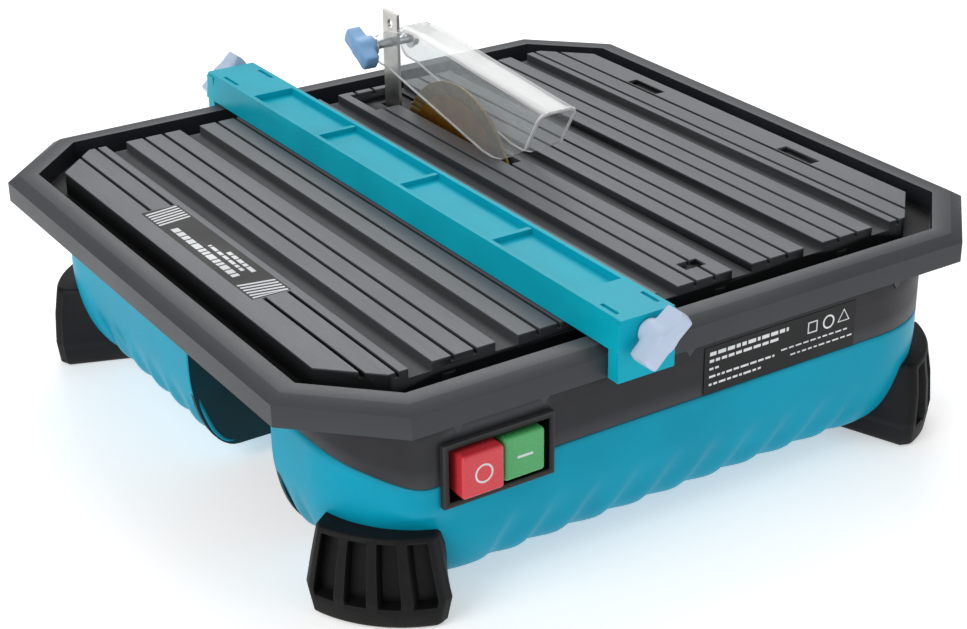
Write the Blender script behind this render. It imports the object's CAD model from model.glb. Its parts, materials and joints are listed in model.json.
"""Looks of the bench-top tile cutter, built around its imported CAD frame.

Smooth shells, rubber feet, the clear guard and the blade are worked out here as surfaces.
The other parts are the CAD shapes with a real edge radius. Everything is in metres.
"""

import json
import math

import bmesh
import bpy
import numpy as np
from mathutils import Matrix, Vector


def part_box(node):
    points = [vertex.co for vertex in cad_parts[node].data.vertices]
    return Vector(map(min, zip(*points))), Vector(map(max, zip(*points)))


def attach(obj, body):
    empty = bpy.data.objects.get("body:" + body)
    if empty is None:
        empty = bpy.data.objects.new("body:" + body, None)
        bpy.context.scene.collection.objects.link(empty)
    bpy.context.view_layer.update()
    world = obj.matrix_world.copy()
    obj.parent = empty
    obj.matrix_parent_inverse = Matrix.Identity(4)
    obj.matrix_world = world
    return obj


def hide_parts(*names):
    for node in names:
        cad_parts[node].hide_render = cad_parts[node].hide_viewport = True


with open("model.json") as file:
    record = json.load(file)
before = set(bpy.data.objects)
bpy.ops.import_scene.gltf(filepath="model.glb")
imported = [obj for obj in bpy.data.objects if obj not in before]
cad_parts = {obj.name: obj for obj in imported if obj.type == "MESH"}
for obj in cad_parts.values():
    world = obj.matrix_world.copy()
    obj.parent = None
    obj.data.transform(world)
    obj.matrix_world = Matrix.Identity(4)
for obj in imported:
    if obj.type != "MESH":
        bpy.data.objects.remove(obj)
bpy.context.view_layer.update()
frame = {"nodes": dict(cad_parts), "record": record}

MM = 0.001

# ---------------------------------------------------------------- places taken from the frame


def corners_of(node):
    """Lowest and highest corner of a CAD node, as arrays."""
    low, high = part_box(node)
    return np.array(low), np.array(high)


table_low, table_high = corners_of("table_top")
shell_low, shell_high = corners_of("lower_housing")
band_low = corners_of("upper_housing")[0]
guard_low, guard_high = corners_of("blade_guard")
blade_low, blade_high = corners_of("blade")
bolt_low, bolt_high = corners_of("guard_bolt")
switch_low, switch_high = corners_of("switch_frame")
stop_low, stop_high = corners_of("stop_button")
start_low, start_high = corners_of("start_button")
plate_low, plate_high = corners_of("rating_plate")
badge_low, badge_high = corners_of("top_badge")
roof_low, roof_high = corners_of("bay_interface")

RIM_W = 15 * MM             # width of the table's raised rim
RIM_CUT = 33.7 * MM         # side of the cut-off corners at the rim's inner edge
BODY_R = 58 * MM            # corner radius of the housing's plan
BOWL_H = 49 * MM            # height of the curved lower part
BOWL_IN = 24 * MM           # how far it draws in at the bottom
BAND_RISE = 8.5 * MM        # the parting line stands this much higher at the sides
WALL = 3 * MM               # wall of both housings
ground_gap = shell_low[2]
bowl_z = ground_gap + BOWL_H
parting_z = band_low[2]
rim_z = table_low[2]
table_z = table_high[2]
bay_front = roof_low[1] - 4 * MM
bay_back = roof_high[1] + 4 * MM
bay_inner = roof_high[0]
bay_top = roof_high[2] - WALL
plan_corners = np.array([[shell_high[0] - BODY_R, shell_high[1] - BODY_R],
                         [shell_low[0] + BODY_R, shell_high[1] - BODY_R],
                         [shell_low[0] + BODY_R, shell_low[1] + BODY_R],
                         [shell_high[0] - BODY_R, shell_low[1] + BODY_R]])

# ---------------------------------------------------------------- mesh helpers


def new_piece(name, points, faces, body, slot, stands_for=(), sharp=40):
    """A mesh piece in the row frame that rides on a body and takes a slot's finish.
    Edges that turn by more than sharp degrees stay crisp."""
    mesh = bpy.data.meshes.new(name)
    mesh.from_pydata(np.asarray(points, float).reshape(-1, 3).tolist(), [], faces)
    mesh.validate()
    mesh.shade_smooth()
    mesh.set_sharp_from_angle(angle=math.radians(sharp))
    piece = bpy.data.objects.new(name, mesh)
    bpy.context.scene.collection.objects.link(piece)
    piece.data.materials.append(finish[slot])
    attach(piece, body)
    if stands_for:
        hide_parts(*stands_for)
    return piece


def grid_faces(rows, columns, around=False, keep=None):
    """Quads of a grid of points numbered row by row; around joins the last column to the first.
    keep is an array of rows - 1 by columns (or columns - 1) that says which quads stay."""
    i, j = np.meshgrid(np.arange(rows - 1), np.arange(columns if around else columns - 1),
                       indexing="ij")
    right = (j + 1) % columns
    quads = np.stack([i * columns + j, i * columns + right, (i + 1) * columns + right,
                      (i + 1) * columns + j], axis=-1)
    return (quads.reshape(-1, 4) if keep is None else quads[keep]).tolist()


def lofted(rings):
    """Points and faces of a closed solid from closed rings of shape (rows, columns, 3), with a flat
    face over the first and the last ring."""
    rows, columns = rings.shape[:2]
    faces = grid_faces(rows, columns, around=True)
    last = (rows - 1) * columns
    return rings.reshape(-1, 3), faces + [list(range(columns))[::-1],
                                          list(range(last, last + columns))]


def outward(piece):
    """Turns a closed piece's faces outwards."""
    work = bmesh.new()
    work.from_mesh(piece.data)
    bmesh.ops.recalc_face_normals(work, faces=work.faces)
    work.to_mesh(piece.data)
    work.free()
    return piece


def edge_radius(piece, width, segments=2, angle=35):
    """Gives a piece's edges a moulded or ground radius."""
    bevel = piece.modifiers.new("edge_radius", "BEVEL")
    bevel.width = width
    bevel.segments = segments
    bevel.limit_method = "ANGLE"
    bevel.angle_limit = math.radians(angle)
    bevel.harden_normals = True
    return piece


def walled(piece, thickness, rim_material=None):
    """Gives an open surface a wall that grows inwards from it, with its rims closed."""
    if rim_material is not None:
        piece.data.materials.append(rim_material)
    solid = piece.modifiers.new("wall", "SOLIDIFY")
    solid.thickness = thickness
    solid.offset = -1
    solid.use_even_offset = True
    solid.thickness_clamp = 0.5
    solid.material_offset_rim = 0 if rim_material is None else 1
    return piece


def softened(node, body, slot, width, segments=2):
    """A merged copy of a CAD node that stands for it, with an edge radius."""
    source = frame["nodes"][node].data
    work = bmesh.new()
    work.from_mesh(source)
    bmesh.ops.remove_doubles(work, verts=work.verts, dist=1e-6)
    bmesh.ops.dissolve_limit(work, angle_limit=math.radians(1), verts=work.verts, edges=work.edges)
    points = [tuple(v.co) for v in work.verts]
    faces = [[v.index for v in f.verts] for f in work.faces]
    work.free()
    piece = new_piece(node + "_finished", points, faces, body, slot, stands_for=(node,))
    return edge_radius(piece, width, segments)


def slab(name, outline, axis, start, end, body, slot, stands_for=()):
    """A solid with a closed outline (n, 2) carried straight along an axis from start to end.
    The outline's two numbers are the two other axes, in their order."""
    outline = np.asarray(outline, float)
    others = [k for k in range(3) if k != axis]
    rings = np.zeros((2, len(outline), 3))
    rings[:, :, others] = outline
    rings[0, :, axis] = start
    rings[1, :, axis] = end
    points, faces = lofted(rings)
    return outward(new_piece(name, points, faces, body, slot, stands_for))


def smoothstep(x, start, end):
    """0 before start, 1 after end, and a smooth rise between them."""
    t = np.clip((x - start) / (end - start), 0, 1)
    return t * t * (3 - 2 * t)


def tube(path, radius, sides=10):
    """Rings of a round bar carried along a path (n, 3): each ring is a circle in the plane
    across the path."""
    along = np.gradient(path, axis=0)
    along /= np.linalg.norm(along, axis=1)[:, None]
    helper = np.where(np.abs(along[:, :1]) < 0.9, [[1.0, 0, 0]], [[0, 1.0, 0]])
    side = np.cross(along, helper)
    side /= np.linalg.norm(side, axis=1)[:, None]
    up = np.cross(along, side)
    turn = np.linspace(0, 2 * np.pi, sides, endpoint=False)
    return (path[:, None] + radius * (np.cos(turn)[None, :, None] * side[:, None]
                                      + np.sin(turn)[None, :, None] * up[:, None]))


# ---------------------------------------------------------------- finishes


def linear(code):
    """A hex colour in sRGB as linear RGBA."""
    c = np.array([int(code[k:k + 2], 16) for k in (1, 3, 5)]) / 255
    return (*np.where(c <= 0.04045, c / 12.92, ((c + 0.055) / 1.055) ** 2.4), 1.0)


def add(tree, kind, feeds=None, **settings):
    """Adds one node with its settings. feeds gives each input, by name or number, a socket that
    drives it or a constant."""
    node = tree.nodes.new(kind)
    for key, value in settings.items():
        setattr(node, key, value)
    for key, value in (feeds or {}).items():
        if isinstance(value, bpy.types.NodeSocket):
            tree.links.new(value, node.inputs[key])
        else:
            node.inputs[key].default_value = value
    return node


def new_finish(name):
    """An empty material with its tree, its Principled shader and the object's coordinates."""
    material = bpy.data.materials.new(name)
    material.use_nodes = True
    tree = material.node_tree
    shader = tree.nodes["Principled BSDF"]
    place = add(tree, "ShaderNodeTexCoord").outputs["Object"]
    return material, tree, shader, place


def stretched(tree, place, scale):
    """The coordinates multiplied by a scale for each axis."""
    return add(tree, "ShaderNodeMapping", {"Vector": place, "Scale": scale}).outputs[0]


def noise(tree, place, size, detail=3.0, rough=0.5):
    """Noise whose blobs are about size metres across."""
    return add(tree, "ShaderNodeTexNoise", {"Vector": place, "Scale": 1 / size,
               "Detail": detail, "Roughness": rough}).outputs["Fac"]


def ranged(tree, value, low, high, start=0.0, end=1.0):
    """A value from start to end carried to low to high."""
    return add(tree, "ShaderNodeMapRange", {"Value": value, "From Min": start, "From Max": end,
               "To Min": low, "To Max": high}).outputs["Result"]


def blended(tree, share, first, second):
    """Two colours mixed by share. A colour is a socket or a hex code."""
    first, second = (linear(c) if isinstance(c, str) else c for c in (first, second))
    return add(tree, "ShaderNodeMix", {0: share, 6: first, 7: second}, data_type="RGBA").outputs[2]


def joined(tree, first, second, operation="ADD"):
    """Two values joined by one operation."""
    return add(tree, "ShaderNodeMath", {0: first, 1: second}, operation=operation).outputs[0]


def times(tree, first, second):
    """Two values multiplied."""
    return joined(tree, first, second, "MULTIPLY")


def drifting(tree, tone, first, second, end=0.65):
    """Two colours that a slow noise drifts between."""
    return blended(tree, ranged(tree, tone, 0.0, 1.0, 0.35, end), first, second)


def embossed(tree, shader, height, depth):
    """Gives the shader a bump of depth metres."""
    bump = add(tree, "ShaderNodeBump", {"Height": height, "Distance": depth, "Strength": 1.0})
    tree.links.new(bump.outputs["Normal"], shader.inputs["Normal"])


def edge_wear(tree, start, end):
    """0 on flat surfaces and 1 along raised edges."""
    raised = add(tree, "ShaderNodeNewGeometry").outputs["Pointiness"]
    return ranged(tree, raised, 0.0, 1.0, start, end)


def moulded_plastic(name, colour, shade, roughness, grain, depth, specular=0.25, coat=0.0,
                    wear=0.08):
    """Injection-moulded plastic: a spark-eroded grain, slow changes of tone and gloss where it is
    handled, and edges rubbed slightly brighter by wear. grain and depth are in millimetres."""
    material, tree, shader, place = new_finish(name)
    tone = noise(tree, place, 35 * MM, 4.0)
    texture = noise(tree, place, grain * MM, 2.0, 0.6)
    worn = times(tree, edge_wear(tree, 0.52, 0.62), wear)
    colour_now = blended(tree, worn, drifting(tree, tone, colour, shade), "#C9CDD2")
    tree.links.new(colour_now, shader.inputs["Base Color"])
    gloss = ranged(tree, joined(tree, tone, texture), roughness - 0.06, roughness + 0.08, 0.7, 1.3)
    tree.links.new(gloss, shader.inputs["Roughness"])
    shader.inputs["IOR"].default_value = 1.53
    shader.inputs["Specular IOR Level"].default_value = specular
    shader.inputs["Coat Weight"].default_value = coat
    shader.inputs["Coat Roughness"].default_value = 0.12
    embossed(tree, shader, texture, depth * MM)
    return material


def table_hollows(tree, place):
    """1 in the grooves and the water channel of the table, and 0 on its rib tops and its rim."""
    parts = add(tree, "ShaderNodeSeparateXYZ", {0: place})
    x = joined(tree, parts.outputs["X"], 0.0, "ABSOLUTE")
    y = joined(tree, parts.outputs["Y"], 0.0, "ABSOLUTE")
    inner = table_high[:2] - RIM_W
    within = times(tree, ranged(tree, x, 1.0, 0.0, inner[0] - 1 * MM, inner[0]),
                   ranged(tree, y, 1.0, 0.0, inner[1] - 1 * MM, inner[1]))
    cut = inner[0] + inner[1] - RIM_CUT
    corner = ranged(tree, joined(tree, x, y), 1.0, 0.0, cut - 1.5 * MM, cut)
    deep = ranged(tree, parts.outputs["Z"], 1.0, 0.0, table_z - 1.1 * MM, table_z - 0.7 * MM)
    return times(tree, times(tree, within, corner), deep)


def table_plastic():
    """Glass-filled nylon table, moulded: satin black-grey, with fine scratches along the fence's
    direction where tiles slide and a faint powder of dried slurry in the low places."""
    material, tree, shader, place = new_finish("glass-filled nylon, moulded")
    tone = noise(tree, place, 60 * MM, 4.0)
    grain = noise(tree, place, 0.9 * MM, 2.0, 0.6)
    scratches = noise(tree, stretched(tree, place, (1.0, 0.02, 1.0)), 0.7 * MM, 2.0, 0.7)
    height = add(tree, "ShaderNodeSeparateXYZ", {0: place}).outputs["Z"]
    top = ranged(tree, height, 0.0, 1.0, table_z - 0.8 * MM, table_z - 0.2 * MM)
    colour = drifting(tree, tone, "#222428", "#2A2C30")
    colour = blended(tree, top, colour, blended(tree, tone, "#4E5054", "#5E6064"))
    low = table_hollows(tree, place)
    colour = blended(tree, low, colour, "#0B0C0E")
    rubbed = times(tree, ranged(tree, scratches, 0.0, 1.0, 0.55, 0.72), top)
    colour = blended(tree, times(tree, rubbed, 0.35), colour, "#5E6064")
    colour = blended(tree, times(tree, edge_wear(tree, 0.52, 0.60), 0.25), colour, "#7C8084")
    tree.links.new(colour, shader.inputs["Base Color"])
    gloss = ranged(tree, joined(tree, tone, grain), 0.34, 0.50, 0.7, 1.3)
    gloss = joined(tree, gloss, times(tree, rubbed, 0.10))
    gloss = joined(tree, gloss, times(tree, low, 0.2))
    tree.links.new(gloss, shader.inputs["Roughness"])
    shader.inputs["IOR"].default_value = 1.53
    shader.inputs["Specular IOR Level"].default_value = 0.25
    relief = joined(tree, grain, times(tree, rubbed, 0.6), "SUBTRACT")
    embossed(tree, shader, relief, 0.05 * MM)
    return material


def rubber():
    """Nitrile rubber, moulded: dull black with a soft bloom and dust caught near the ground."""
    material, tree, shader, place = new_finish("nitrile rubber, moulded")
    tone = noise(tree, place, 18 * MM, 4.0)
    grain = noise(tree, place, 0.8 * MM, 3.0, 0.6)
    height = add(tree, "ShaderNodeSeparateXYZ", {0: place}).outputs["Z"]
    dust = times(tree, ranged(tree, height, 1.0, 0.0, 0.0, 9 * MM), tone)
    colour = drifting(tree, tone, "#060607", "#0C0C0E")
    colour = blended(tree, times(tree, dust, 0.35), colour, "#4A463F")
    colour = blended(tree, times(tree, edge_wear(tree, 0.52, 0.62), 0.2), colour, "#46464C")
    tree.links.new(colour, shader.inputs["Base Color"])
    tree.links.new(ranged(tree, grain, 0.50, 0.68, 0.3, 0.7), shader.inputs["Roughness"])
    shader.inputs["IOR"].default_value = 1.52
    shader.inputs["Specular IOR Level"].default_value = 0.2
    embossed(tree, shader, grain, 0.06 * MM)
    return material


def metal(name, colour, shade, roughness, line, along, depth, metallic=1.0):
    """A metal with fine lines left by its tool, along one axis, and slow stains. line is the lines'
    width and depth the relief's, in millimetres; they are as coarse as they need to be to show."""
    material, tree, shader, place = new_finish(name)
    scale = [1.0, 1.0, 1.0]
    scale[along] = 0.03
    lines = noise(tree, stretched(tree, place, scale), line * MM, 3.0, 0.7)
    stain = noise(tree, place, 12 * MM, 4.0)
    worn = times(tree, edge_wear(tree, 0.52, 0.62), 0.4)
    colour_now = blended(tree, worn, drifting(tree, stain, colour, shade, 0.7), "#F2F0EC")
    tree.links.new(colour_now, shader.inputs["Base Color"])
    shader.inputs["Metallic"].default_value = metallic
    gloss = ranged(tree, joined(tree, lines, stain), roughness - 0.08, roughness + 0.12, 0.7, 1.3)
    tree.links.new(gloss, shader.inputs["Roughness"])
    embossed(tree, shader, lines, depth * MM)
    return material


def axle_distance(tree, place):
    """Distance from the blade's axle in metres."""
    centred = add(tree, "ShaderNodeMapping", {"Vector": place,
                  "Location": (0, -axle[1], -axle[2])}).outputs[0]
    parts = add(tree, "ShaderNodeSeparateXYZ", {0: centred})
    flat = add(tree, "ShaderNodeCombineXYZ",
               {1: parts.outputs["Y"], 2: parts.outputs["Z"]}).outputs[0]
    return add(tree, "ShaderNodeVectorMath", {0: flat}, operation="LENGTH").outputs["Value"]


def bronze_blade():
    """Steel blade with a bronze-coloured coating: turned rings on the core and a sintered
    bronze and diamond rim, which is coarser, duller and speckled with grit."""
    material, tree, shader, place = new_finish("bronze-coated steel with a sintered rim")
    distance = axle_distance(tree, place)
    rings = add(tree, "ShaderNodeTexNoise", {"W": times(tree, distance, 1 / (0.35 * MM)),
                "Detail": 3.0}, noise_dimensions="1D").outputs["Fac"]
    rim = ranged(tree, distance, 0.0, 1.0, blade_r - 8.2 * MM, blade_r - 7.6 * MM)
    grit = noise(tree, place, 0.5 * MM, 2.0, 0.8)
    stain = noise(tree, place, 15 * MM, 4.0)
    core = blended(tree, ranged(tree, stain, 0.0, 1.0, 0.3, 0.7), "#B8741C", "#CF9230")
    edge = blended(tree, ranged(tree, grit, 0.0, 1.0, 0.45, 0.65), "#6E5A34", "#B59C66")
    tree.links.new(blended(tree, rim, core, edge), shader.inputs["Base Color"])
    shader.inputs["Metallic"].default_value = 0.9
    gloss = ranged(tree, rings, 0.28, 0.42, 0.3, 0.7)
    gloss = joined(tree, gloss, times(tree, rim, 0.22))
    tree.links.new(gloss, shader.inputs["Roughness"])
    relief = joined(tree, times(tree, rings, 0.3), times(tree, grit, rim))
    embossed(tree, shader, relief, 0.06 * MM)
    return material


def clear_plastic(name, tint, reflect, haze, dust):
    """Clear polycarbonate sheet: what is behind it shows through unbent, with a polished sheen that
    grows at grazing angles, a faint haze of fine scuffs and dust on the faces that look upwards."""
    material, tree, shader, place = new_finish(name)
    scuffs = noise(tree, stretched(tree, place, (1.0, 0.15, 1.0)), 3 * MM, 4.0, 0.7)
    see = add(tree, "ShaderNodeBsdfTransparent", {"Color": linear(tint)}).outputs[0]
    facing = add(tree, "ShaderNodeLayerWeight", {"Blend": 0.5}).outputs["Facing"]
    sheen = times(tree, joined(tree, facing, 4.0, "POWER"), reflect)
    shader.inputs["Base Color"].default_value = linear("#F2F2F2")
    shader.inputs["IOR"].default_value = 1.58
    tree.links.new(ranged(tree, scuffs, 0.05, 0.16, 0.35, 0.7), shader.inputs["Roughness"])
    normal = add(tree, "ShaderNodeNewGeometry").outputs["Normal"]
    level = add(tree, "ShaderNodeSeparateXYZ", {0: normal}).outputs["Z"]
    settled = ranged(tree, joined(tree, level, 0.0, "ABSOLUTE"), 0.0, dust, 0.6, 1.0)
    worn = joined(tree, ranged(tree, scuffs, haze * 0.8, haze * 1.3, 0.35, 0.7), settled)
    mixed = add(tree, "ShaderNodeMixShader", {0: joined(tree, sheen, worn), 1: see,
                2: shader.outputs[0]}).outputs[0]
    tree.links.new(mixed, tree.nodes["Material Output"].inputs["Surface"])
    return material


axle = (blade_low + blade_high) / 2
blade_r = (blade_high[1] - blade_low[1]) / 2

# Name, two colours, roughness, grain and relief, then specular, coat and wear where they differ
PLASTICS = {
    "dark_housing": ("ABS, moulded with a fine grain", "#19191D", "#212126", 0.46, 0.8, 0.05),
    "teal_housing": ("teal ABS, moulded satin", "#0390AC", "#0498B5", 0.36, 1.2, 0.02,
                     0.08, 0.0, 0.02),
    "fence_plastic": ("teal ABS, moulded with a soft gloss", "#05A4BA", "#07ACC2", 0.32, 1.2, 0.015,
                      0.1, 0.0, 0.0),
    "bay_lining": ("teal ABS, dark inside the bay", "#07333C", "#083A44", 0.5, 1.2, 0.03,
                   0.15, 0.0, 0.0),
    "pale_knob": ("acetal, moulded pale", "#B2C2DA", "#BCCBE0", 0.38, 1.0, 0.01, 0.25, 0.0, 0.0),
    "blue_knob": ("acetal, moulded light blue", "#7FAAD8", "#8AB4DE", 0.36, 1.0, 0.01,
                  0.25, 0.0, 0.0),
    "black_plastic": ("black nylon, moulded", "#050506", "#080809", 0.46, 0.8, 0.03),
    "tray_plastic": ("polypropylene, moulded", "#202326", "#292C30", 0.5, 1.2, 0.03),
    "switch_body": ("thermoset switch body", "#D6D4C8", "#CFCCBE", 0.5, 0.8, 0.02),
    "red_plastic": ("red acetal, polished", "#C8303A", "#CE3640", 0.22, 2.5, 0.004, 0.25, 0.4, 0.0),
    "green_plastic": ("green acetal, polished", "#3F9B58", "#45A15E", 0.22, 2.5, 0.004,
                      0.25, 0.4, 0.0),
    "badge_film": ("printed polyester film", "#050506", "#09090B", 0.48, 0.6, 0.006,
                   0.25, 0.0, 0.0),
    "print_white": ("white print", "#E2E4E6", "#D2D5D8", 0.42, 0.5, 0.005),
    "board_laminate": ("glass-epoxy board", "#175C32", "#1B6638", 0.35, 0.5, 0.01),
    "wire_insulation": ("PVC insulation", "#B3202A", "#A51C26", 0.42, 1.0, 0.01),
}

# Name, two colours, roughness, width of the tool's lines, the axis they run along and their depth
METALS = {
    "zinc_steel": ("zinc-plated steel", "#C4C6CA", "#AEB0B5", 0.30, 0.3, 0, 0.01),
    "knife_steel": ("ground stainless steel", "#BDBAB2", "#A8A59D", 0.34, 0.35, 2, 0.02),
    "machined_steel": ("turned steel", "#B9BABD", "#A3A4A8", 0.30, 0.3, 1, 0.015),
    "motor_case": ("phosphated steel", "#4A4B50", "#3D3E43", 0.48, 0.5, 0, 0.01),
    "brass_insert": ("turned brass", "#C9A85C", "#B89548", 0.30, 0.3, 1, 0.01),
    "copper": ("turned copper", "#C47B50", "#A9643D", 0.30, 0.3, 1, 0.01),
    "contact_brass": ("tinned brass strip", "#CBB777", "#B8A364", 0.30, 0.3, 0, 0.01),
    "sink_aluminium": ("extruded aluminium", "#C6C8CC", "#B4B6BB", 0.34, 0.4, 0, 0.01),
    "capacitor_sleeve": ("sleeved aluminium", "#2A3A66", "#233158", 0.35, 0.5, 2, 0.005, 0.4),
}

finish = {slot: moulded_plastic(*values) for slot, values in PLASTICS.items()}
finish |= {slot: metal(*values) for slot, values in METALS.items()}
finish |= {"table_plastic": table_plastic(), "foot_rubber": rubber(), "seal_rubber": rubber(),
           "blade_coating": bronze_blade(),
           "clear_guard": clear_plastic("clear polycarbonate, polished", "#F7F8F8",
                                        0.5, 0.10, 0.34)}
clear_edge = clear_plastic("clear polycarbonate, cut edge", "#FFFFFF", 0.8, 0.60, 0.2)

for entry in frame["record"]["subparts"]:
    mesh = frame["nodes"][entry["node"]].data
    mesh.materials.clear()
    mesh.materials.append(finish[entry["material_slot"]])

# ---------------------------------------------------------------- housing


CORNER_STEPS = 24
RUN_STEP = 2 * MM


def plan_stations():
    """Centres (n, 2) and outward directions (n, 2) round the housing, against the clock from its
    right side: centre + (corner radius - inset) * direction is a point of the wall. Each corner
    centre turns through a quarter circle, and each straight run moves from one centre to the
    next. The run on the left has stations at the battery bay's edges."""
    centres, turns = [], []
    for q in range(4):
        here, there = plan_corners[q], plan_corners[(q + 1) % 4]
        turn = np.radians(90 * q) + np.linspace(0, np.pi / 2, CORNER_STEPS, endpoint=False)
        centres.append(np.repeat(here[None], CORNER_STEPS, axis=0))
        turns.append(turn)
        stops = [here, there]
        if q == 1:
            stops = [here, (here[0], bay_back), (here[0], bay_front), there]
        for a, b in zip(stops[:-1], stops[1:]):
            a, b = np.array(a), np.array(b)
            n = max(2, round(float(np.linalg.norm(b - a) / RUN_STEP)))
            share = np.linspace(0, 1, n, endpoint=False)[:, None]
            centres.append(a + share * (b - a))
            turns.append(np.full(n, np.radians(90 * (q + 1))))
    turn = np.concatenate(turns)
    return np.concatenate(centres), np.stack([np.cos(turn), np.sin(turn)], axis=1)


plan_centre, plan_out = plan_stations()


def switch_pad():
    """How far each station's wall is drawn out to the front plane, so that the switch stands on a
    flat face: 1 beside the switch, and back to the round corner over 20 mm."""
    wall = plan_centre + BODY_R * plan_out
    near = smoothstep(wall[:, 0], switch_low[0] - 24 * MM, switch_low[0] - 4 * MM)
    front_left = (wall[:, 0] < 0) * (wall[:, 1] < shell_low[1] + BODY_R)
    return near * (shell_low[1] - wall[:, 1]) * front_left


pad_out = switch_pad()


def parting_height(y):
    """Height of the parting line: level at the front and back, higher along the sides, with half
    a cosine wave between."""
    near = np.minimum(y - shell_low[1], shell_high[1] - y)
    return parting_z + BAND_RISE * smoothstep(near, 10 * MM, BODY_R)


def bowl_inset(z):
    """How far the lower wall lies inside the plan: a quarter ellipse below the bowl's height."""
    down = np.clip((bowl_z - z) / BOWL_H, 0, 1)
    return BOWL_IN * (1 - np.sqrt(1 - down ** 2))


def wall_points(inset, z):
    """Points (rows, columns, 3) of the wall for insets and heights given per row or per point."""
    inset, z = np.broadcast_arrays(np.atleast_2d(inset), np.atleast_2d(z))
    flat = plan_centre[None] + (BODY_R - inset)[..., None] * plan_out[None]
    flat = np.array(np.broadcast_to(flat, (*np.broadcast_shapes(flat.shape[:2], z.shape), 2)))
    flat[..., 1] += (pad_out[None] * smoothstep(z, switch_low[2] - 12 * MM, switch_low[2] - 1 * MM)
                     * (1 - smoothstep(inset, 3 * MM, 20 * MM)))
    return np.concatenate([flat, np.broadcast_to(z, flat.shape[:2])[..., None]], axis=-1)


SCOOP_PITCH = 22.5 * MM
SCOOP_DEPTH = 2.8 * MM
SCOOP_LEAN = 0.32           # sideways shift for each unit of height
SCOOP_SWELL = 0.72          # share of the pitch over which the wall swells
STRAIGHT = 0.999            # a direction's part along an axis, above which the wall is straight


def scoops(points):
    """Depth of the finger scoops along the lower edge: a leaning sawtooth wave along the wall that
    swells slowly and falls back fast, fades out above mid-height and stops before the feet."""
    x, y, z = points[..., 0], points[..., 1], points[..., 2]
    sideways = np.abs(plan_out[:, 0]) > STRAIGHT
    along = np.where(sideways, y * np.sign(plan_out[:, 0]), -x * np.sign(plan_out[:, 1]))
    lean = (z - ground_gap) * SCOOP_LEAN
    phase = ((along - lean) / SCOOP_PITCH) % 1
    wave = np.where(phase < SCOOP_SWELL, phase / SCOOP_SWELL, (1 - phase) / (1 - SCOOP_SWELL))
    wave = smoothstep(wave, 0, 1)
    straight = (np.abs(plan_out) > STRAIGHT).any(axis=1)
    run_low = plan_corners.min(axis=0)
    run_high = plan_corners.max(axis=0)
    from_end = np.where(sideways, np.minimum(y - run_low[1], run_high[1] - y),
                        np.minimum(x - run_low[0], run_high[0] - x))
    fade = smoothstep(from_end, 2 * MM, 14 * MM) * straight
    upward = 1 - smoothstep(z, ground_gap + 14 * MM, ground_gap + 38 * MM)
    return SCOOP_DEPTH * (1 - wave) * fade * upward


def quad_middles(points):
    """The middle of each quad of a grid of points that closes on itself."""
    middle = (points[:-1] + points[1:]) / 2
    return (middle + np.roll(middle, -1, axis=1)) / 2


def between(points, low, high):
    """Which points lie between two corners."""
    return ((points > low) & (points < high)).all(axis=-1)


FAR = math.inf              # a side of a region that has no end
SHELL_WALL = WALL * 0.8     # wall of the smooth shells, which leaves room for the CAD parts inside
SWITCH_LAP = 1.5 * MM       # how far the switch frame laps over its opening


def lower_shell():
    """The teal lower housing: rows run from the parting line down the wall, round the bowl and
    12 mm in under the bottom. The bay and the switch are left open."""
    wall_rows, bowl_rows = 5, 26
    top = parting_height(wall_points(0, 0)[0, :, 1])
    share = np.linspace(0, 1, wall_rows)[:, None]
    upper = top[None] + share * (bowl_z - top[None])
    turn = np.linspace(0, np.pi / 2, bowl_rows)[1:, None]
    curved_z = np.repeat(bowl_z - BOWL_H * np.sin(turn), len(top), axis=1)
    curved_in = np.repeat(BOWL_IN * (1 - np.cos(turn)), len(top), axis=1)
    z = np.concatenate([upper, curved_z, curved_z[-1:]])
    inset = np.concatenate([np.zeros_like(upper), curved_in, curved_in[-1:] + 8 * MM])
    points = wall_points(inset, z)
    depth = scoops(points)
    depth[-1] = 0
    points = wall_points(inset + depth, z)
    middle = quad_middles(points)
    in_bay = between(middle, (-FAR, bay_front, -FAR), (bay_inner, bay_back, FAR))
    in_switch = between(middle, (switch_low[0] + SWITCH_LAP, -FAR, switch_low[2] + 1 * MM),
                        (switch_high[0] - SWITCH_LAP, shell_low[1] + BODY_R, FAR))
    faces = grid_faces(len(z), len(top), around=True, keep=~(in_bay | in_switch))
    faces = [f[::-1] for f in faces]
    piece = new_piece("lower_shell", points, faces, "housing", "teal_housing",
                      ("lower_housing",), 50)
    walled(piece, SHELL_WALL)


def bottom_plate():
    """The flat bottom: the plan drawn in to the bowl's foot, with the battery bay cut out."""
    ring = wall_points(BOWL_IN + 1 * MM, ground_gap)[0, :, :2]
    beside = between(ring, (-FAR, bay_front - 1e-6), (bay_inner, bay_back + 1e-6))
    first = int(np.flatnonzero(beside)[0])
    last = int(np.flatnonzero(beside)[-1])
    notch = [(ring[first, 0], bay_back), (bay_inner, bay_back), (bay_inner, bay_front),
             (ring[last, 0], bay_front)]
    outline = np.concatenate([ring[:first], notch, ring[last + 1:]])
    slab("bottom_plate", outline, 2, ground_gap + 0.05 * MM, ground_gap + 2.4 * MM, "housing",
         "teal_housing")


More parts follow.
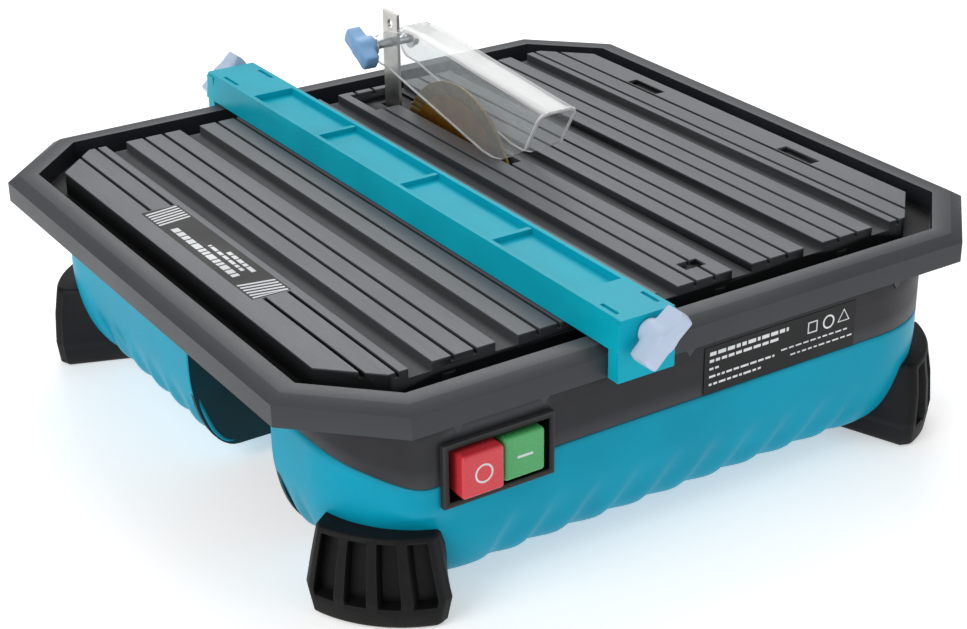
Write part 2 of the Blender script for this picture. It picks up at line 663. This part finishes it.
def bay_walls():
    """Three walls inside the battery bay. The two side walls end at the bowl's outer curve."""
    z = ground_gap + BOWL_H * (1 - np.sin(np.linspace(np.pi / 2, 0, 14)))
    edge = np.stack([shell_low[0] + bowl_inset(z) + 0.2 * MM, z], axis=1)
    outline = np.concatenate([edge, [(shell_low[0] + 0.2 * MM, bay_top),
                                     (bay_inner + WALL, bay_top),
                                     (bay_inner + WALL, ground_gap)]])
    slab("bay_wall_front", outline, 1, bay_front - WALL, bay_front + 0.1 * MM, "housing",
         "bay_lining")
    slab("bay_wall_back", outline, 1, bay_back - 0.1 * MM, bay_back + WALL, "housing", "bay_lining")
    slab("bay_wall_inner", [(bay_front, ground_gap), (bay_back, ground_gap), (bay_back, bay_top),
                            (bay_front, bay_top)], 0, bay_inner, bay_inner + WALL, "housing",
         "bay_lining")


def upper_band():
    """The dark upper housing: the wall above the parting line and the deck that carries the table,
    with openings for the bay and the switch."""
    gap = 0.4 * MM
    deck_z = rim_z - 0.1 * MM
    low_edge = parting_height(wall_points(0, 0)[0, :, 1]) + gap
    share = np.array([0, 0.015, 0.35, 0.7, 0.985, 1])[:, None]
    side = low_edge[None] + share * (deck_z - low_edge[None])
    insets = np.array([0.35, 0, 0, 0, 0, 0.35, 2, 14, 26, 40])[:, None] * MM
    z = np.concatenate([side, np.full((4, len(low_edge)), deck_z)])
    points = wall_points(np.repeat(insets, len(low_edge), axis=1), z)
    middle = quad_middles(points)
    in_bay = between(middle, (-FAR, bay_front, -FAR),
                     (shell_low[0] + 1 * MM, bay_back, bay_top + 2.5 * MM))
    in_switch = between(middle, (switch_low[0] + SWITCH_LAP, -FAR, -FAR),
                        (switch_high[0] - SWITCH_LAP, switch_low[1] + 14 * MM,
                         switch_high[2] - 1 * MM))
    knife_way = between(middle, (0, axle[1] + 40 * MM, -FAR),
                        (70 * MM, shell_high[1] - 8 * MM, FAR))
    faces = grid_faces(len(z), len(low_edge), around=True, keep=~(in_bay | in_switch | knife_way))
    piece = new_piece("upper_band", points, faces, "housing", "dark_housing",
                      ("upper_housing",), 50)
    walled(piece, SHELL_WALL)


NOTCHES = (-134 * MM, -90 * MM, -10 * MM, 117 * MM)


def rim_notches():
    """Small dark tapering recesses in the band under the table's rim."""
    for number, x in enumerate(NOTCHES):
        outline = [(x - 3 * MM, rim_z - 0.3 * MM), (x + 3 * MM, rim_z - 0.3 * MM),
                   (x + 2.2 * MM, rim_z - 1.2 * MM), (x - 0.6 * MM, rim_z - 4.2 * MM)]
        slab(f"rim_notch_{number}", outline, 1, shell_low[1] - 0.12 * MM, shell_low[1] + 0.5 * MM,
             "housing", "black_plastic")


lower_shell()
bottom_plate()
bay_walls()
upper_band()
rim_notches()

# ---------------------------------------------------------------- feet

FOOT_SIDE = 7.5 * MM        # how far a foot is set out sideways from the housing's corner
FOOT_BOW = 62 * MM          # radius of the bowed face
FLUTES = 4
FLUTE_DEPTH = 6.5 * MM
FLUTE_SPAN = 0.93           # share of the face's half width that the flutes take
FOOT_SKIN = 1.5 * MM        # rubber left behind a flute
FOOT_GAP = 0.8 * MM         # how far the rubber reaches into the housing's wall
LEDGE = 10.95 * MM          # below this height a foot reaches in under the housing
SQUARE = math.sqrt(2)


def foot(corner, turn, node):
    """One rubber foot, drawn with its outward direction along +X from the housing's corner centre:
    rows rise from the floor, and each ring runs across a bowed face and back along the housing's
    wall, drawing in towards the middle. The face is widest at a third of its height, and four
    flutes are sunk into it."""
    heights = np.concatenate([[0, 0.6], np.linspace(2, 10.9, 7), [11.0],
                              np.linspace(11.6, 43.4, 44), [44.2, 44.8, 45]]) * MM
    across = np.linspace(-1, 1, 133)
    c, s = np.cos(turn), np.sin(turn)
    outwards, sideways = FOOT_SIDE * abs(c), -FOOT_SIDE * np.sign(c) * s
    half = np.interp(heights, np.array([0, 1.2, 14, 45]) * MM, np.array([29, 30.4, 33, 27]) * MM)
    out = BODY_R + np.interp(heights, np.array([0, 1.5, 14, 30, 45]) * MM,
                             np.array([3.6, 4.8, 6.5, 5.2, 2.5]) * MM) + outwards
    rounding = np.interp(heights, np.array([0, 0.6, 2, 43.4, 44.2, 44.8, 45]) * MM,
                         np.array([1.6, 0.7, 0, 0, 0.35, 0.9, 1.4]) * MM)
    half, out = half - rounding, out - rounding
    v = across[None] * half[:, None]
    bow = FOOT_BOW - np.sqrt(FOOT_BOW ** 2 - v ** 2)
    corner_round = 3.5 * MM * smoothstep(np.abs(across[None]), 0.90, 1.0) ** 2
    face = out[:, None] - bow - corner_round

    wall_r = (BODY_R - bowl_inset(heights) - FOOT_GAP)[:, None]
    under = heights[:, None] < LEDGE
    v_back = v + sideways
    for _ in range(3):
        on_arc = np.sqrt(np.maximum(wall_r ** 2 - v_back ** 2, 0))
        mitred = wall_r * SQUARE - np.abs(v_back)
        back = np.where(np.abs(v_back) < wall_r / SQUARE, on_arc, mitred)
        back = np.minimum(np.where(under, BODY_R - 44 * MM + outwards, back), face - 0.5 * MM)
        slim = 1 - 0.6 * np.clip((BODY_R - 14 * MM + outwards - back) / (30 * MM), 0, 1)
        v_back = v * slim + sideways

    pitch = 2 * FLUTE_SPAN / FLUTES
    cell = ((across + FLUTE_SPAN) / pitch) % 1
    inside = (np.abs(across) < FLUTE_SPAN).astype(float)
    sunk = smoothstep(cell, 0.16, 0.24) * (1 - smoothstep(cell, 0.76, 0.84)) * inside
    upright = (smoothstep(heights, 10.5 * MM, 12.5 * MM)
               * (1 - smoothstep(heights, 41 * MM, 42.6 * MM)))
    room = np.clip(face - back - FOOT_SKIN, 0, FLUTE_DEPTH)
    level = np.broadcast_to(heights[:, None], v.shape)
    front = np.stack([face - room * sunk[None] * upright[:, None], v + sideways, level], axis=-1)
    behind = np.stack([back, v_back, level], axis=-1)[:, ::-1]
    rings = np.concatenate([front, behind], axis=1)
    placed = rings @ np.array([[c, s, 0], [-s, c, 0], [0, 0, 1.0]]) + np.array([*corner, 0])
    rows, columns = placed.shape[:2]
    faces = grid_faces(rows, columns, around=True)
    k = np.arange(len(across) - 1)
    strip = np.stack([k, k + 1, columns - 2 - k, columns - 1 - k], axis=1)
    faces += strip[:, ::-1].tolist() + (strip + (rows - 1) * columns).tolist()
    outward(new_piece(node + "_rubber", placed, faces, "housing", "foot_rubber", (node,), 38))


for corner, quarter, node in ((0, 45, "foot_back_right"), (1, 135, "foot_back_left"),
                              (2, 225, "foot_front_left"), (3, 315, "foot_front_right")):
    foot(plan_corners[corner], math.radians(quarter), node)

# ---------------------------------------------------------------- table, fence and knobs

softened("table_top", "housing", "table_plastic", 0.55 * MM)
softened("rip_fence", "fence", "fence_plastic", 0.9 * MM, 3)
softened("riving_knife", "housing", "knife_steel", 0.25 * MM)
softened("switch_frame", "housing", "black_plastic", 0.6 * MM)
softened("stop_button", "stop_button", "red_plastic", 1.6 * MM, 3)
softened("start_button", "start_button", "green_plastic", 1.6 * MM, 3)

HUB_R = 5.6 * MM
WING_END = 4.5 * MM         # radius of a wing's end
WING_HALF = 4.4 * MM        # half the thickness of the wings
SOFT = 7                    # power of the union of hub and wings: higher is sharper
CLAMP_TILT = math.radians(42)
GUARD_TILT = math.radians(30)


def wing_knob(node, body, slot, axis, inner, outer, tilt):
    """A wing knob: its outline across the axis is the smooth union of a hub and a bar, in polar
    form, and it is carried from a bare hub at the inner end to full wings at the outer end.
    tilt turns the wings round the axis."""
    low, high = corners_of(node)
    centre = (low + high) / 2
    others = [k for k in range(3) if k != axis]
    turn = np.linspace(0, 2 * np.pi, 160, endpoint=False)
    half_span = (high - low)[others[0]] / 2
    reach = (half_span - WING_END) / math.cos(tilt) + WING_END
    bar = np.minimum(WING_HALF / np.maximum(np.abs(np.sin(turn)), 1e-6),
                     reach / np.maximum(np.abs(np.cos(turn)), 1e-6))
    share = np.array([0, 0.04, 0.10, 0.14, 0.18, 0.24, 0.3, 0.5, 0.7, 0.88, 0.94, 0.98, 1.0])
    spread = smoothstep(share, 0.10, 0.30)
    trim = np.interp(share, [0, 0.04, 0.88, 0.94, 0.98, 1.0],
                     np.array([0.5, 0, 0, 0.3, 1.0, 1.9]) * MM)
    hub = HUB_R * (1 - 0.08 * share)
    wings = hub[:, None] + spread[:, None] * (bar[None] - hub[:, None])
    radius = (hub[:, None] ** SOFT + np.maximum(wings, 1e-6) ** SOFT) ** (1 / SOFT)
    radius = np.minimum(radius, reach) - trim[:, None]
    rings = np.zeros((*radius.shape, 3))
    rings[..., others[0]] = centre[others[0]] + radius * np.cos(turn + tilt)
    rings[..., others[1]] = centre[others[1]] + radius * np.sin(turn + tilt)
    rings[..., axis] = (inner + share * (outer - inner))[:, None]
    points, faces = lofted(rings)
    outward(new_piece(node + "_finished", points, faces, body, slot, (node,), 60))


for node, body, inner, outer in (("fence_knob_front", "clamp_front", 1, 0),
                                 ("fence_knob_back", "clamp_back", 0, 1)):
    ends = [corner[1] for corner in corners_of(node)]
    wing_knob(node, body, "pale_knob", 1, ends[inner], ends[outer], CLAMP_TILT)
ends = [corner[0] for corner in corners_of("guard_knob")]
wing_knob("guard_knob", "guard_knob", "blue_knob", 0, ends[1], ends[0], GUARD_TILT)

# ---------------------------------------------------------------- clear guard

GUARD_WALL = 1.8 * MM
GUARD_ROUND = 4.5 * MM      # outer radius between the walls and the roof
ROOF_END = 112 * MM         # behind this place the guard has walls only
ROOF_CROWN = 0.8 * MM       # how far the roof bulges in its middle
STEP_Y = 2 * MM             # where the walls step in
STEP_IN = 1.1 * MM
BEAD_R = 0.7 * MM


def guard_curves(u):
    """Top and bottom edge (n, 2) of the guard's side, as y and z, for u from 0 at the front to 1
    at the pivot."""
    pivot = np.array([(bolt_low[1] + bolt_high[1]) / 2, (bolt_low[2] + bolt_high[2]) / 2])
    top = np.array([[-167, 8.5], [-120, 12.0], [-79, 15.0], [-43, 17.5], [-27, 17.6], [-13, 15],
                    [-1, 9.6], [5, 5.4], [8, 1]]) * MM
    low = np.array([[-153, -15], [-144, -20.4], [-136, -25], [-128, -28.8], [-119, -30.4],
                    [-109, -30.0], [-12, -10.5], [-1, -10], [5, -7], [8, -2.5]]) * MM
    y_top = top[0, 0] + u * (top[-1, 0] - top[0, 0])
    y_low = low[0, 0] + u * (low[-1, 0] - low[0, 0])
    z_top = np.interp(y_top, top[:, 0], top[:, 1])
    z_low = np.interp(y_low, low[:, 0], low[:, 1])
    return np.stack([y_top, z_top], 1) + pivot, np.stack([y_low, z_low], 1) + pivot


def guard_surface():
    """The guard's outer skin: u runs from front to back, and s up the left wall, over the rounded
    roof and down the right wall. Each wall is ruled between the bottom and the top curve."""
    u = np.linspace(0, 1, 120)
    top, low = guard_curves(u)
    height = (top[:, 1] - low[:, 1])[:, None]
    half = (guard_high[0] - guard_low[0]) / 2
    middle = (guard_high[0] + guard_low[0]) / 2
    climb = np.linspace(0, 1, 14)[None]
    radius = np.minimum(GUARD_ROUND, height * 0.45)
    turn = np.linspace(0, np.pi / 2, 8)[None, 1:]
    roof = np.linspace(0, 1, 9)[None, 1:]
    up_x = np.zeros((len(u), climb.shape[1]))
    up_z = climb * (height - radius)
    bend_x = radius * (1 - np.cos(turn))
    bend_z = height - radius + radius * np.sin(turn)
    flat_x = radius + roof * (half - radius)
    flat_z = height + ROOF_CROWN * (1 - (1 - roof) ** 2) * (height > 15 * MM)
    x_in = np.concatenate([up_x, bend_x, flat_x], axis=1)
    z_up = np.minimum(np.concatenate([up_z, bend_z, flat_z], axis=1), height + 0.2 * MM)
    share = z_up / height
    y = low[:, :1] + share * (top[:, :1] - low[:, :1])
    z = low[:, 1:] + z_up
    inset = STEP_IN * smoothstep(y, STEP_Y - 1.5 * MM, STEP_Y + 1.5 * MM)
    x = np.where(x_in >= half - 1e-9, 0, -half + np.maximum(x_in, inset))
    left = np.stack([middle + x, y, z], axis=-1)
    right = np.stack([middle - x, y, z], axis=-1)[:, ::-1][:, 1:]
    return np.concatenate([left, right], axis=1), climb.shape[1]


def clear_guard():
    """The clear cover: a moulded wall with a bright bead along its front edge."""
    points, wall_columns = guard_surface()
    rows, columns = points.shape[:2]
    keep = np.ones((rows - 1, columns - 1), bool)
    roof = slice(wall_columns, columns - 1 - wall_columns)
    keep[:, roof] = points[:-1, :-1, 1][:, roof] <= ROOF_END
    faces = grid_faces(rows, columns, keep=keep)
    piece = new_piece("guard_cover", points, faces, "guard", "clear_guard", ("blade_guard",), 60)
    walled(piece, GUARD_WALL, clear_edge)
    bead_points, bead_faces = lofted(tube(points[0] + np.array([0, 0.6, -0.5]) * MM, BEAD_R))
    bead = outward(new_piece("guard_bead", bead_points, bead_faces, "guard", "clear_guard", (), 60))
    bead.data.materials[0] = clear_edge


clear_guard()

# ---------------------------------------------------------------- blade

SEGMENTS = 72
RIM_DEPTH = 7.5 * MM


def turbo_blade():
    """A continuous-rim diamond blade: radius and turn are the grid. The rim is thicker than the
    core, and slanting grooves are pressed into both of its faces."""
    bore_r = 11.1 * MM
    half = (blade_high[0] - blade_low[0]) / 2
    radii = np.concatenate([[bore_r, bore_r + 0.4 * MM], np.linspace(14, 46, 9) * MM,
                            blade_r - np.linspace(RIM_DEPTH + 0.6 * MM, 0.3 * MM, 12), [blade_r]])
    turn = np.linspace(0, 2 * np.pi, SEGMENTS * 8, endpoint=False)
    r, a = np.meshgrid(radii, turn, indexing="ij")
    on_rim = smoothstep(r, blade_r - RIM_DEPTH - 0.5 * MM, blade_r - RIM_DEPTH)
    wave = ((a * SEGMENTS / (2 * np.pi) + (r - blade_r) / (6 * MM)) % 1)
    groove = smoothstep(wave, 0.45, 0.60) * (1 - smoothstep(wave, 0.85, 1.0))
    thick = half * (0.75 + on_rim * (0.25 - 0.38 * groove))
    thick = np.where((r <= bore_r + 1e-9) | (r >= blade_r - 1e-9), thick * 0.75, thick)
    y = axle[1] + r * np.cos(a)
    z = axle[2] + r * np.sin(a)
    near = np.stack([axle[0] - thick, y, z], axis=-1)
    far = np.stack([axle[0] + thick, y, z], axis=-1)[::-1]
    rings = np.concatenate([near, far, near[:1]])
    rows, columns = rings.shape[:2]
    faces = np.array(grid_faces(rows, columns, around=True))
    faces = faces % ((rows - 1) * columns)
    points = rings[:-1].reshape(-1, 3)
    outward(new_piece("turbo_blade", points, faces.tolist(), "blade", "blade_coating",
                      ("blade",), 35))


turbo_blade()

# ---------------------------------------------------------------- prints and marks


PRINT_OUT = 0.03 * MM       # how far print stands out from its film
PRINT_IN = 0.1 * MM         # how far it reaches in


def boxes(name, places, body):
    """Many thin printed boxes as one piece. places has the lowest and highest corner of each."""
    places = np.asarray(places, float).reshape(-1, 2, 3)
    pick = np.array([[0, 0, 0], [1, 0, 0], [1, 1, 0], [0, 1, 0],
                     [0, 0, 1], [1, 0, 1], [1, 1, 1], [0, 1, 1]])
    points = np.take_along_axis(places, pick[None], axis=1)
    quads = np.array([[0, 3, 2, 1], [4, 5, 6, 7], [0, 1, 5, 4],
                      [1, 2, 6, 5], [2, 3, 7, 6], [3, 0, 4, 7]])
    faces = (np.arange(len(places))[:, None, None] * 8 + quads[None]).reshape(-1, 4)
    return new_piece(name, points, faces.tolist(), body, "print_white")


def rating_print():
    """Generic marks on the rating plate: rows of short bars in place of words and three simple
    signs at the right."""
    (left, front, base), right = plate_low, plate_high[0]
    rng = np.random.default_rng(7)
    rows = [(left + 3 * MM, left + end * MM, left + end * MM, z, tall, 5.0, 1.0)
            for z, tall, end in ((20.2, 1.9, 50), (16.6, 1.5, 44), (12.6, 1.1, 9), (8.6, 1.1, 42),
                                 (4.6, 1.1, 34))]
    rows += [(right - length * MM, right - 4 * MM, right, z, 0.8, 4.0, 1.2)
             for z, length in ((10.1, 46), (6.1, 40))]
    places = []
    for x, end, limit, z, tall, longest, gap in rows:
        low, high = base + (z - tall / 2) * MM, base + (z + tall / 2) * MM
        while x < end:
            wide = rng.uniform(1.6, longest) * MM
            places.append([[x, front - PRINT_OUT, low],
                           [min(x + wide, limit), front + PRINT_IN, high]])
            x += wide + gap * MM
    boxes("rating_lines", places, "housing")
    for number, (x, radius, start, corners) in enumerate(((65.0, 4.2, 45, 4), (75.0, 3.6, 0, 48),
                                                          (84.5, 4.4, 90, 3))):
        flat_ring(f"rating_sign_{number}", (left + x * MM, base + 17 * MM), radius * MM, start,
                  corners, front, "housing")


def flat_ring(name, centre, radius, start, corners, face_y, body):
    """A printed ring on a face that looks towards -Y, radius and turn its grid. With 3 or 4 corners
    it is a triangle or a square."""
    wide = 0.9 * MM
    turn = np.radians(start + np.linspace(0, 360, corners + 1))
    r, a = np.meshgrid(np.array([radius - wide, radius]), turn, indexing="ij")
    top = np.stack([centre[0] + r * np.cos(a), np.full_like(r, face_y - PRINT_OUT),
                    centre[1] + r * np.sin(a)], axis=-1)
    under = top + np.array([0, 0.12 * MM, 0])
    points, faces = lofted(np.stack([top[0], top[1], under[1], under[0]], axis=1))
    outward(new_piece(name, points, faces, body, "print_white"))


STRIPES = 6                 # at each end of the badge


def badge_print():
    """Generic print on the table's badge: slanting stripes at both ends and blocks between."""
    under, top = badge_high[2] - PRINT_IN, badge_high[2] + PRINT_OUT
    left, right = badge_low[0] + 1 * MM, badge_high[0] - 1 * MM
    for number in range(2 * STRIPES):
        base, lean = ((41.0, 2.4), (-60.0, -3.6))[number // STRIPES]
        near = (base + 3.1 * (number % STRIPES)) * MM
        far = near + lean * MM
        outline = [[left, near], [right, far], [right, far + 1.5 * MM], [left, near + 1.5 * MM]]
        outline = np.clip(outline, [left, badge_low[1] + 0.6 * MM],
                          [right, badge_high[1] - 0.6 * MM])
        slab(f"badge_stripe_{number}", outline, 2, under, top, "housing", "print_white")
    rng = np.random.default_rng(11)
    places = []
    for low, high, start, end in ((3.5, 7.5, -34, 34), (10.0, 12.0, -30, 6), (13.6, 16.0, -34, -6)):
        y = start * MM
        while y < end * MM:
            long = rng.uniform(2.5, 6.5) * MM
            places.append([[badge_low[0] + low * MM, y, under],
                           [badge_low[0] + high * MM, min(y + long, end * MM), top]])
            y += long + 1.1 * MM
    boxes("badge_blocks", places, "housing")


def button_marks():
    """A ring on the stop button and a bar on the start button."""
    face_z = (stop_low[2] + stop_high[2]) / 2
    flat_ring("stop_ring", ((stop_low[0] + stop_high[0]) / 2, face_z), 4.6 * MM, 0, 48,
              stop_low[1], "stop_button")
    mid = (start_low[0] + start_high[0]) / 2
    boxes("start_bar", [[[mid - 4 * MM, start_low[1] - PRINT_OUT, face_z - 0.6 * MM],
                         [mid + 4 * MM, start_low[1] + PRINT_IN, face_z + 0.6 * MM]]],
          "start_button")


rating_print()
badge_print()
button_marks()

# ---------------------------------------------------------------- stage, light and camera


FLOOR_HALF = 6.0
FLOOR_GLOW = 0.42


def pale_floor():
    """A plain pale floor."""
    corners = [(FLOOR_HALF * x, FLOOR_HALF * y, 0) for x, y in ((-1, -1), (1, -1), (1, 1), (-1, 1))]
    mesh = bpy.data.meshes.new("floor")
    mesh.from_pydata(corners, [], [(0, 1, 2, 3)])
    floor = bpy.data.objects.new("floor", mesh)
    bpy.context.scene.collection.objects.link(floor)
    material, _, shader, _ = new_finish("pale floor paint")
    shader.inputs["Base Color"].default_value = linear("#F6F6F6")
    shader.inputs["Roughness"].default_value = 0.9
    shader.inputs["Emission Color"].default_value = (1, 1, 1, 1)
    shader.inputs["Emission Strength"].default_value = FLOOR_GLOW
    mesh.materials.append(material)


def area_light(name, place, aim, size, power):
    """A square soft light that points at aim."""
    data = bpy.data.lights.new(name, "AREA")
    data.shape = "SQUARE"
    data.size = size
    data.energy = power
    light = bpy.data.objects.new(name, data)
    light.location = place
    light.rotation_mode = "QUATERNION"
    light.rotation_quaternion = (Vector(aim) - Vector(place)).to_track_quat("-Z", "Y")
    bpy.context.scene.collection.objects.link(light)


LIGHTS = (("key_left", (-1.9, -0.5, 1.3), 1.3, 22),     # name, place, side and watts
          ("top_back", (0.8, 1.3, 1.7), 1.7, 29),
          ("front_fill", (0.9, -1.7, 0.8), 1.2, 5))
LIT_POINT = (0, 0, 0.08)
WORLD_GLOW = 0.42


def studio():
    """A soft key from the left, a large top light behind the object and a weak front fill."""
    for name, place, size, power in LIGHTS:
        area_light(name, place, LIT_POINT, size, power)
    world = bpy.data.worlds.new("studio")
    world.use_nodes = True
    world.node_tree.nodes["Background"].inputs["Color"].default_value = (1, 1, 1, 1)
    world.node_tree.nodes["Background"].inputs["Strength"].default_value = WORLD_GLOW
    bpy.context.scene.world = world
    bpy.context.scene.view_settings.view_transform = "Standard"


CAMERA_PLACE = Vector((-0.5143, -0.7963, 0.4961))
CAMERA_TURN = (-33.358, 25.976, -0.451)     # azimuth, elevation and roll in degrees
LENS = 72.92                                # focal length in mm
LENS_SHIFT = (-0.0124, 0.0006)


def camera():
    """A long lens from the front left, well above the table."""
    azimuth, elevation, roll = (math.radians(a) for a in CAMERA_TURN)
    back = Vector((math.sin(azimuth) * math.cos(elevation),
                   -math.cos(azimuth) * math.cos(elevation), math.sin(elevation)))
    right = (-back).cross(Vector((0, 0, 1))).normalized()
    up = right.cross(-back)
    right, up = (math.cos(roll) * right + math.sin(roll) * up,
                 -math.sin(roll) * right + math.cos(roll) * up)
    data = bpy.data.cameras.new("camera")
    data.lens = LENS
    data.sensor_width = 36
    data.shift_x, data.shift_y = LENS_SHIFT
    data.clip_start = 0.05
    data.clip_end = 50
    seen = bpy.data.objects.new("camera", data)
    facing = Matrix((right, up, back)).transposed().to_4x4()
    seen.matrix_world = Matrix.Translation(CAMERA_PLACE) @ facing
    bpy.context.scene.collection.objects.link(seen)
    bpy.context.scene.camera = seen


pale_floor()
studio()
camera()
